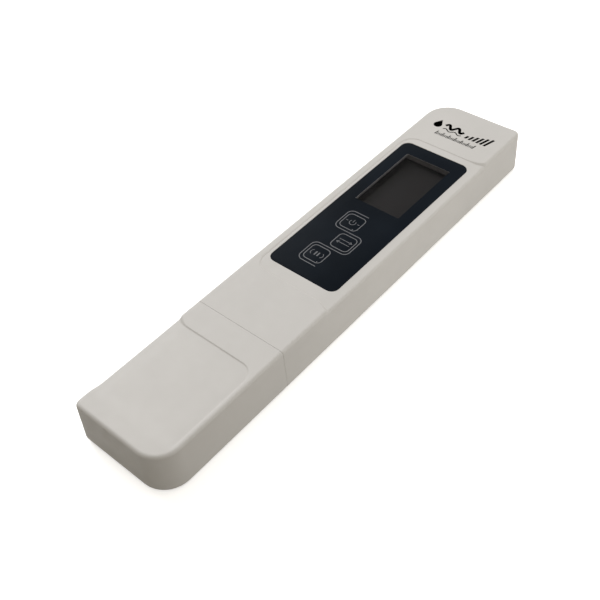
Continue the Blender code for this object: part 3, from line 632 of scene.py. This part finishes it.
cutters = [
    block("c", -33.2, 75.4, -13.4, 13.4, -1, 11.8, {(1, -1): 0.9, (1, 1): 6.9}),
    block("c", LABEL[0] - 0.05, LABEL[1] + 0.05, LABEL[2] - 0.05, LABEL[3] + 0.05, 13.36, 15, 2.45),
    block("c", WINDOW[0], WINDOW[1], WINDOW[2], WINDOW[3], 12.86, 15, 0.3, seg=3),
    block("c", WINDOW[0] - 0.16, WINDOW[1] - 0.05, WINDOW[2] - 0.16, WINDOW[3] + 0.75, 9, 12.9, 0.3, seg=3),
    block("c", WINDOW[0] - 0.5, WINDOW[1] + 0.6, WINDOW[2] - 0.5, WINDOW[3] + 1.3, 9, 12.04, 0.3, seg=3),
    block("c", -36, -32.2, -12.3, 12.3, 2.6, 11.1),
    block("c", 74.4, 79, -7.9, 5.9, -2, 1.9),
    block("c", 74.4, 79, -3.8, 1.8, -1, 2.3),
]
for kx, ky in KEYS.values():
    cutters.append(block("c", kx - 3.3, kx + 3.3, ky - 3.3, ky + 3.3, 9, 15, 1.5, seg=5))
boolean(front, cutters)
front.data.materials.append(bezel_grey)
for poly in front.data.polygons:
    c = poly.center / MM
    if (WINDOW[0] - 1.3 < c.x < WINDOW[1] + 1.3 and WINDOW[2] - 1.3 < c.y < WINDOW[3] + 1.3 and 11.7 < c.z < 13.38):
        poly.material_index = 1
bosses = [turned("u", [(0, 0), (0, 2.8), (8.6, 2.8), (8.6, 0)], (-22, s * 8.5, 3.8), (0, 0, 1), segments=32) for s in (1, -1)]
bosses += [turned("u", [(0, 0), (0, 2.2), (4.65, 2.2), (4.65, 0)], (-13, s * 9.6, 7.75), (0, 0, 1), segments=32) for s in (1, -1)]
boolean(front, bosses, "UNION")
pilots = [turned("c", [(0, 0), (0, 1.15), (7.0, 1.15), (7.0, 0)], (-22, s * 8.5, 3.0), (0, 0, 1), segments=24) for s in (1, -1)]
pilots += [turned("c", [(0, 0), (0, 0.85), (4.0, 0.85), (4.0, 0)], (-13, s * 9.6, 7.0), (0, 0, 1), segments=24) for s in (1, -1)]
boolean(front, pilots)
finish_mesh(front, 52)
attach(front, "case")
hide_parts("front_shell")

# ------------------------------------------------------------------ cap
DISH_X1, DISH_Y0, DISH_R, DISH_DEPTH = -43.1, -13.1, 4.2, 0.25
dish_outline = ([(DISH_X1, 10.6), (DISH_X1, DISH_Y0 + DISH_R)] + arc(DISH_X1 - DISH_R, DISH_Y0 + DISH_R, DISH_R, 0, -90, 24)
                + [(-90.0, DISH_Y0), (-90.0, 19.0), (DISH_X1 + 3.4, 19.0), (DISH_X1 + 2.9, 16.0), (DISH_X1 + 2.1, 14.9),
                   (DISH_X1 + 1.35, 13.9), (DISH_X1 + 0.75, 12.9), (DISH_X1 + 0.30, 11.8)])


def cap_height(x, y):
    sd = sd_polygon(x, y, dish_outline)
    out = smooth((y - 9.5) / 5.0)
    w = 0.22 + 0.44 * out
    ramp = smooth((x + 72.2) / 4.6)
    return H - (DISH_DEPTH + 0.40 * out) * smooth((w - sd) / (2 * w)) * ramp


def cap_fillet(x, y):
    return TOP_R - 0.16 * smooth((-9.0 - y) / 3.0)


us = spaced((34.82, 38.6, 0.5), (38.6, 42.2, 0.2), (42.2, 44.0, 0.09), (44.0, 47.8, 0.22), (47.8, 66.2, 0.6), (66.2, 72.6, 0.35))
ys_cap = ([-v for v in reversed(rim_rows)][:-1] + spaced((-12.5, -8.2, 0.16), (-8.2, 0.0, 0.8))
          + spaced((0.0, 10.2, 0.8), (10.2, 12.5, 0.3))[1:] + rim_rows[1:])
ys_cap = sorted(set(round(v, 6) for v in ys_cap))
cap = skin("pen_cap", -1, 34.82, 77.0, 7.7, 2.2, us, ys_cap, cap_height, cap_fillet, abs_white)
boolean(cap, [block("c", -75.2, -30, -12.9, 12.9, 1.9, 11.8, {(-1, -1): 5.6, (-1, 1): 1.2})])
finish_mesh(cap, 52)
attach(cap, "cap")
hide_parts("cap")

# ------------------------------------------------------------------ label film, its print, the keys
label = block("panel_film", LABEL[0], LABEL[1], LABEL[2], LABEL[3], FILM_Z0, FILM_Z1, 2.4, seg=14, mat=film, top=0.05, edge_seg=2)
openings = [block("c", WINDOW[0] - 0.02, WINDOW[1] + 0.02, WINDOW[2] - 0.02, WINDOW[3] + 0.02, 12, 15, 0.2, seg=3)]
KEY_HALF_VIS = 3.12
for kx, ky in KEYS.values():
    h = KEY_HALF_VIS + 0.04
    openings.append(block("c", kx - h, kx + h, ky - h, ky + h, 12, 15, 1.50, seg=10))
boolean(label, openings)
label.data.materials.append(bezel_grey)
for poly in label.data.polygons:
    c = poly.center / MM
    if (abs(poly.normal.z) < 0.5 and WINDOW[0] - 0.2 < c.x < WINDOW[1] + 0.2 and WINDOW[2] - 0.2 < c.y < WINDOW[3] + 0.2):
        poly.material_index = 1
finish_mesh(label, 30)
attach(label, "case")
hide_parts("label_overlay")

INK0, INK1 = FILM_Z1 - 0.02, FILM_Z1 + 0.012
LINE = 0.26


def draw_ribbon(bm):
    r = 1.75
    path = ([(17.15, -1.25)] + arc(17.15 - r, 4.98 - r, r, 0, 90) + arc(9.05 + r, 4.98 - r, r, 90, 180)
            + arc(9.05 - r, -5.62 + r, r, 0, -90) + arc(1.15 + r, -5.62 + r, r, 270, 180)
            + arc(1.15 - r, 4.98 - r, r, 0, 90) + arc(-6.78 + r, 4.98 - r, r, 90, 180) + [(-6.78, -1.5)])
    ribbon_into(bm, path, LINE, INK0, INK1)


panel_print = print_object("panel_print", draw_ribbon, ink_grey)
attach(panel_print, "case")


def draw_power(bm, kx, ky):
    cx = kx + 0.05
    pts = [(cx - 0.10 + 0.96 * math.cos(math.radians(a)), ky + 0.96 * math.sin(math.radians(a)))
           for a in [48 + (312 - 48) * i / 30 for i in range(31)]]
    ribbon_into(bm, pts, 0.19, INK0, INK1)
    ribbon_into(bm, [(cx - 0.05, ky), (cx + 1.12, ky)], 0.19, INK0, INK1)
    for s in (1, -1):
        ribbon_into(bm, [(cx - 0.05, ky + s * 1.60), (cx - 0.05, ky + s * 2.30)], 0.19, INK0, INK1)
    patch_into(bm, [(kx - 2.45 + 0.17 * math.cos(a), ky - 1.75 + 0.17 * math.sin(a)) for a in
                    (2 * math.pi * i / 12 for i in range(12))], INK0, INK1)


def draw_shift(bm, kx, ky):
    for s in (1, -1):
        x = kx + 0.15 + s * 0.62
        ribbon_into(bm, [(x, ky + 2.05), (x, ky - 2.05)], 0.19, INK0, INK1)
        tip = ky - s * 2.15
        ribbon_into(bm, [(x + 0.46, tip + s * 0.70), (x, tip), (x - 0.46, tip + s * 0.70)], 0.19, INK0, INK1)


def draw_hold(bm, kx, ky):
    for s in (1, -1):
        x0, x1, y0, y1 = kx - 0.72, kx + 0.80, ky + s * 0.46 - 0.20, ky + s * 0.46 + 0.20
        patch_into(bm, [(x0, y0), (x1, y0), (x1, y1), (x0, y1)], INK0, INK1)
        pts = [(kx + 0.03 + 1.40 * math.sin(math.radians(a)) * 0.80, ky + s * (0.64 + 1.40 * math.cos(math.radians(a))))
               for a in [-52 + 104 * i / 16 for i in range(17)]]
        ribbon_into(bm, pts, 0.19, INK0, INK1)
    patch_into(bm, [(kx - 2.45 + 0.17 * math.cos(a), ky - 1.95 + 0.17 * math.sin(a)) for a in
                    (2 * math.pi * i / 12 for i in range(12))], INK0, INK1)


for key, draw in (("power", draw_power), ("shift", draw_shift), ("hold", draw_hold)):
    kx, ky = KEYS[key]
    h = KEY_HALF_VIS
    top = block("key_top_" + key, kx - h, kx + h, ky - h, ky + h, 12.9, FILM_Z1, 1.46, seg=12, mat=film, top=0.05, edge_seg=2)
    stem = block("c", kx - 2.85, kx + 2.85, ky - 2.85, ky + 2.85, 10.6, 13.2, 1.25, seg=8)
    flange = block("c", kx - 3.55, kx + 3.55, ky - 3.55, ky + 3.55, 10.25, 11.35, 0.5, seg=4)
    boolean(top, [stem, flange], "UNION")
    finish_mesh(top, 30)
    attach(top, "key_" + key)
    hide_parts("key_" + key)

    def draw_all(bm, draw=draw, kx=kx, ky=ky):
        ribbon_into(bm, ring_path(kx, ky, 2.93, 1.30), LINE, INK0, INK1, closed=True)
        draw(bm, kx, ky)

    sign = print_object("key_sign_" + key, draw_all, ink_grey)
    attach(sign, "key_" + key)

# smoked pane, flush in the film
window = block("window_pane", WINDOW[0] + 0.03, WINDOW[1] - 0.03, WINDOW[2] + 0.03, WINDOW[3] - 0.03, 13.20, FILM_Z1 - 0.01,
               0.18, seg=3, mat=pane, top=0.04, edge_seg=2)
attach(window, "case")
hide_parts("display_window")


# ------------------------------------------------------------------ the head's generic graphic
def draw_head(bm):
    z0, z1 = H - 0.03, H
    # drop
    cx, cy, r = 65.1, 8.1, 1.35
    drop = [(cx + 2.75, cy)]
    drop += [(cx + r * math.cos(math.radians(a)), cy + r * math.sin(math.radians(a))) for a in range(55, 306, 10)]
    patch_into(bm, drop, z0, z1)
    # wave
    pts = [(65.95 + 0.95 * math.sin(2 * math.pi * i / 24.0), 5.7 - 6.7 * i / 48) for i in range(49)]
    ribbon_into(bm, pts, 0.95, z0, z1)
    pts = [(64.1 + 0.42 * math.sin(2 * math.pi * i / 24.0), 5.6 - 6.6 * i / 48) for i in range(49)]
    ribbon_into(bm, pts, 0.36, z0, z1)
    # rising, slanted bars
    for i in range(6):
        y = -2.2 - i * 1.32
        tall = 1.5 + i * 0.54
        lean = 0.28 * tall
        patch_into(bm, [(63.75, y), (63.75 + tall, y - lean), (63.75 + tall, y - lean - 0.82), (63.75, y - 0.82)], z0, z1)
    # fine scale under it
    for i in range(25):
        y = 6.3 - i * 0.555
        tall = 1.8 if i % 4 == 0 else 1.1
        ribbon_into(bm, [(60.6, y), (60.6 + tall, y - tall * 0.2)], 0.27 if i % 4 else 0.38, z0, z1)


head_print = print_object("head_print", draw_head, ink_black)
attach(head_print, "case")

# ------------------------------------------------------------------ back plate and battery door
back = block("back_plate", -32.9, 75.1, -13.1, 13.1, 0.0, 1.6, {(1, -1): 0.6, (1, 1): 6.6, (-1, 1): 0.4, (-1, -1): 0.4},
             seg=12, mat=abs_white, bottom=0.25, edge_seg=3)
adds = [block("u", 51.2, 74.0, -9.1, -8.2, 0.8, 7.4), block("u", 51.2, 74.0, 6.2, 7.1, 0.8, 7.4)]
adds += [turned("u", [(0, 0), (0, 3.6), (2.6, 3.6), (2.6, 0)], (-22, s * 8.5, 0.8), (0, 0, 1), segments=48) for s in (1, -1)]
boolean(back, adds, "UNION")
cuts = [turned("c", [(0, 0), (0, 2.75), (1.0, 2.75), (1.35, 2.4), (2.9, 2.4), (2.9, 1.3), (6.0, 1.3), (6.0, 0)],
               (-22, s * 8.5, -1.0), (0, 0, 1), segments=48) for s in (1, -1)]
cuts += [block("c", 49.3, 90, -7.1, 5.1, -1, 3), block("c", 49.3, 90, -7.9, 5.9, 0.7, 3)]
# screw bores, then the door opening and the wider slot its rails run in
boolean(back, cuts)
finish_mesh(back, 40)
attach(back, "case")
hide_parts("rear_shell")

door = block("door_plate", 49.6, 77.0, -6.8, 4.8, 0.0, 1.3, {(-1, 1): 0.5, (-1, -1): 0.5}, seg=5, mat=abs_white, bottom=0.22, edge_seg=3,
             ends=(77.0,))
boolean(door, [block("u", 49.6, 77.0, -7.6, 5.6, 1.0, 1.6)], "UNION")
grips = [block("c", 55.0 + i * 1.9, 55.9 + i * 1.9, -4.6, 2.6, -1, 0.38, 0.4, seg=5) for i in range(5)]
prism = block("c", -1.4, 1.4, -12, 12, -1.4, 1.4)
prism.data.transform(Matrix.Translation((77.0 * MM, 0, 0)) @ Matrix.Rotation(math.radians(45), 4, "Y"))
boolean(door, grips + [prism])
finish_mesh(door, 40)
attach(door, "battery_door")
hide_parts("battery_door")

# ------------------------------------------------------------------ probe end
probe = block("probe_nose", -43.0, -33.6, -12.0, 12.0, 2.9, 10.8, {(-1, -1): 1.0, (-1, 1): 1.0}, seg=6, mat=abs_inner,
              top=0.4, bottom=0.4, edge_seg=3)
shaft = block("u", -73.4, -42.0, -8.0, 8.0, 2.93, 10.77, {(-1, -1): 1.8, (-1, 1): 1.8}, seg=8, top=0.7, bottom=0.7, edge_seg=4)
flange = block("u", -32.9, -31.3, -13.0, 13.0, 2.2, 11.4)
waist = block("u", -34.8, -32.2, -11.97, 11.97, 2.93, 10.77)
boolean(probe, [shaft, flange, waist], "UNION")
groove = block("c", -39.6, -37.4, -20, 20, -6, 20)
boolean(groove, [block("c", -45, -30, -11.2, 11.2, 3.7, 10.0)])
cuts = [block("c", -78, -62.0, -6.2, 6.2, 0, 14), groove,
        block("c", -60.6, -60.3, -20, 20, 10.55, 15), block("c", -58.2, -57.9, -20, 20, 10.55, 16)]
cuts += [turned("c", [(0, 0), (0, r + 0.15), (46, r + 0.15), (46, 0)], (-72, y, 6.85), (1, 0, 0), segments=40)
         for y, r in ((3.7, 1.1), (-3.7, 1.1), (0.0, 1.2))]
boolean(probe, cuts)
finish_mesh(probe, 40)
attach(probe, "case")
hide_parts("probe_body")

for i, y in enumerate((3.7, -3.7)):
    pin = turned(f"pin_{i + 1}", rounded_end(42.4, 1.1, 0.5), (-29.6, y, 6.85), (-1, 0, 0), pin_metal)
    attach(pin, "case")
    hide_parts(f"electrode_pin_{i + 1}")
tip = turned("thermo_tip", rounded_end(39.9, 1.2, 1.05), (-29.6, 0, 6.85), (-1, 0, 0), steel)
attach(tip, "case")
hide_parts("temperature_sensor")

# ring: a rounded bead swept round the neck
bm = bmesh.new()
loop = []
hw, z0, z1, r = 12.0, 2.9, 10.8, 1.2
zc = (z0 + z1) / 2
hh = (z1 - z0) / 2
path = []
for (cy, cz, a0) in ((hw - r, zc + hh - r, 0), (-(hw - r), zc + hh - r, 90), (-(hw - r), zc - hh + r, 180), (hw - r, zc - hh + r, 270)):
    for k in range(9):
        a = math.radians(a0 + 90 * k / 8)
        path.append((cy, cz, a))
rings = []
for cy, cz, a in path:
    ring = []
    for k in range(16):
        b = 2 * math.pi * k / 16
        out = r + 0.42 * math.cos(b) * 1.0
        ring.append(bm.verts.new(((-38.5 + 0.72 * math.sin(b)) * MM, (cy + out * math.cos(a)) * MM, (cz + out * math.sin(a)) * MM)))
    rings.append(ring)
for a, b in zip(rings, rings[1:] + rings[:1]):
    for k in range(16):
        bm.faces.new((a[k], a[(k + 1) % 16], b[(k + 1) % 16], b[k]))
bmesh.ops.recalc_face_normals(bm, faces=bm.faces)
mesh = bpy.data.meshes.new("neck_ring")
bm.to_mesh(mesh)
bm.free()
ring_obj = finish_mesh(new_object("neck_ring", mesh, silicone), 60)
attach(ring_obj, "case")
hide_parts("neck_seal")

# ------------------------------------------------------------------ cells and screws
for i, cx in enumerate((57.2, 69.2)):
    up = i == 1
    prof = [(0, 0), (0, 5.3)]
    prof += [(0.5 * (1 - math.cos(a)), 5.3 + 0.5 * math.sin(a)) for a in (math.pi / 2 * k / 6 for k in range(1, 7))]
    prof += [(4.35, 5.8)] + [(4.35 + 0.35 * math.sin(a), 5.45 + 0.35 * math.cos(a)) for a in (math.pi / 2 * k / 6 for k in range(1, 7))]
    prof += [(4.7, 4.75), (4.55, 4.6), (4.55, 4.3)]
    prof += [(4.9 + 0.5 * math.sin(a), 3.75 + 0.5 * math.cos(a)) for a in (math.pi / 2 * k / 6 for k in range(0, 7))] + [(5.4, 0)]
    cell = turned(f"cell_{i + 1}", prof, (cx, -1.0, 2.2 if up else 7.6), (0, 0, 1 if up else -1), steel, segments=96)
    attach(cell, "case")
    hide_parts(f"battery_cell_{i + 1}")


def cross_screw(name, x, y, head_r, head_z0, head_z1, shank_r, tip_z, node, countersunk=False):
    prof = [(0, 0), (0, head_r - 0.45), (0.12, head_r - 0.2), (0.32, head_r), (head_z1 - head_z0, head_r),
            (head_z1 - head_z0, shank_r)]
    length = tip_z - head_z0
    d = head_z1 - head_z0 + 0.3
    while d < length - 1.0:
        prof += [(d, shank_r * 0.86), (d + 0.18, shank_r * 1.08), (d + 0.36, shank_r * 0.86)]
        d += 0.6
    prof += [(length - 0.6, shank_r * 0.8), (length, 0.0)]
    screw = turned(name, prof, (x, y, head_z0), (0, 0, 1), steel, segments=40)
    arm, slot = head_r * 0.62, 0.22
    tools = [block("c", x - arm, x + arm, y - slot, y + slot, head_z0 - 2, head_z0 + 0.7),
             block("c", x - slot, x + slot, y - arm, y + arm, head_z0 - 2, head_z0 + 0.7)]
    boolean(screw, tools)
    finish_mesh(screw, 35)
    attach(screw, "case")
    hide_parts(node)


for i, s in enumerate((1, -1)):
    cross_screw(f"screw_case_{i + 1}", -22.0, s * 8.5, 2.05, 0.5, 1.75, 0.95, 9.4, f"case_screw_{i + 1}")
    cross_screw(f"screw_board_{i + 1}", -13.0, s * 9.6, 1.9, 5.1, 6.45, 0.70, 10.4, f"board_screw_{i + 1}")

# ------------------------------------------------------------------ carried-over CAD nodes
finishes = {
    "lcd_panel": lcd_glass, "lcd_frame": black_plastic, "zebra_strip_1": zebra, "zebra_strip_2": zebra,
    "switch_power": black_plastic, "switch_shift": black_plastic, "switch_hold": black_plastic,
    "switch_button_power": black_plastic, "switch_button_shift": black_plastic, "switch_button_hold": black_plastic,
    "circuit_board": board, "controller_chip": black_plastic, "amplifier_chip": black_plastic,
    "timing_crystal": can_metal, "reservoir_capacitor": can_metal,
    "contact_negative": nickel, "contact_positive": nickel, "battery_bridge": nickel,
    "electrode_lead_1": lead_red, "electrode_lead_2": lead_black, "sensor_lead": lead_yellow,
}
for node, mat in finishes.items():
    obj = NODES[node]
    if not obj.material_slots:
        obj.data.materials.append(mat)
    for s in obj.material_slots:
        s.material = mat
    if node not in ("lcd_panel", "electrode_lead_1", "electrode_lead_2", "sensor_lead"):
        mod = obj.modifiers.new("edges", "BEVEL")
        mod.width = 0.08 * MM
        mod.segments = 2
        mod.limit_method = "ANGLE"
        mod.angle_limit = math.radians(50)

# ------------------------------------------------------------------ camera, floor and light
CAM_AZ, CAM_EL, CAM_ROLL = math.radians(-46.33), math.radians(46.37), math.radians(-4.665)
CAM_AT = Vector((-129.212, -111.862, 174.090)) * MM
FOCAL_PX, FRAME_PX = 864.4, 600.0
back_dir = Vector((math.sin(CAM_AZ) * math.cos(CAM_EL), -math.cos(CAM_AZ) * math.cos(CAM_EL), math.sin(CAM_EL)))
right = Vector((0, 0, 1)).cross(back_dir).normalized()
up = back_dir.cross(right)
r2 = right * math.cos(CAM_ROLL) + up * math.sin(CAM_ROLL)
u2 = -right * math.sin(CAM_ROLL) + up * math.cos(CAM_ROLL)
cam_data = bpy.data.cameras.new("camera")
cam_data.sensor_width = 36.0
cam_data.sensor_fit = "HORIZONTAL"
cam_data.lens = FOCAL_PX / FRAME_PX * 36.0
cam_data.clip_start = 0.005
cam_data.clip_end = 50.0
cam = bpy.data.objects.new("camera", cam_data)
scene.collection.objects.link(cam)
rot = Matrix((r2, u2, back_dir)).transposed()
cam.matrix_world = Matrix.Translation(CAM_AT) @ rot.to_4x4()
scene.camera = cam

bm = bmesh.new()
bmesh.ops.create_grid(bm, x_segments=8, y_segments=8, size=3.0)
mesh = bpy.data.meshes.new("floor")
bm.to_mesh(mesh)
bm.free()
t = Tree("floor_paper")
paper = t.noise(900.0, 3.0, 0.6)
t.link(t.mix(t.ramp(paper, 0.3, 0.7), (0.955, 0.955, 0.955), (0.985, 0.985, 0.985)), t.shader.inputs["Base Color"])
t.link(t.ramp(paper, 0.3, 0.7, 0.8, 0.9), t.shader.inputs["Roughness"])
t.set(Specular_IOR_Level=0.1, Emission_Color=(1.0, 1.0, 1.0, 1.0), Emission_Strength=0.52)
floor = new_object("floor", mesh, t.mat)
floor.location = (0, 0, -0.00005)
floor.visible_diffuse = False


def area(name, where, at, size, power, colour):
    data = bpy.data.lights.new(name, "AREA")
    data.shape = "DISK"
    data.size = size
    data.energy = power
    data.color = colour
    obj = bpy.data.objects.new(name, data)
    scene.collection.objects.link(obj)
    obj.location = where
    obj.rotation_euler = (Vector(at) - Vector(where)).to_track_quat("-Z", "Y").to_euler()
    return obj


area("key", (0.28, 0.83, 0.76), (0, 0, 0), 1.0, 9.4, (0.98, 0.98, 1.0))

def spot(name, where, at, radius, power, colour, cone, blend=1.0):
    data = bpy.data.lights.new(name, "SPOT")
    data.energy = power
    data.color = colour
    data.shadow_soft_size = radius
    data.spot_size = math.radians(cone)
    data.spot_blend = blend
    obj = bpy.data.objects.new(name, data)
    scene.collection.objects.link(obj)
    obj.location = where
    obj.rotation_euler = (Vector(at) - Vector(where)).to_track_quat("-Z", "Y").to_euler()
    return obj


spot("side", (0.06, -0.90, 0.10), (0.040, -0.015, 0.007), 0.05, 12.9, (1.0, 0.985, 0.96), 18.6)

WORLD_LEVEL = (0.380, 0.350, 0.292)
WORLD_SLOPE = (0.160, -0.050, 0.410)
world = bpy.data.worlds.new("studio")
scene.world = world
world.use_nodes = True
background = world.node_tree.nodes["Background"]
# surroundings: a soft linear gradient, darker towards the cap end and the near side
w_tree = world.node_tree
w_coord = w_tree.nodes.new("ShaderNodeTexCoord")
w_dot = w_tree.nodes.new("ShaderNodeVectorMath")
w_dot.operation = "DOT_PRODUCT"
w_dot.inputs[1].default_value = WORLD_SLOPE
w_tree.links.new(w_coord.outputs["Generated"], w_dot.inputs[0])
w_sum = w_tree.nodes.new("ShaderNodeVectorMath")
w_sum.operation = "ADD"
w_sum.inputs[1].default_value = WORLD_LEVEL
w_tree.links.new(w_dot.outputs["Value"], w_sum.inputs[0])
w_max = w_tree.nodes.new("ShaderNodeVectorMath")
w_max.operation = "MAXIMUM"
w_max.inputs[1].default_value = (0.0, 0.0, 0.0)
w_tree.links.new(w_sum.outputs["Vector"], w_max.inputs[0])
w_tree.links.new(w_max.outputs["Vector"], background.inputs["Color"])
background.inputs["Strength"].default_value = 1.0
scene.view_settings.view_transform = "Standard"
scene.view_settings.look = "None"
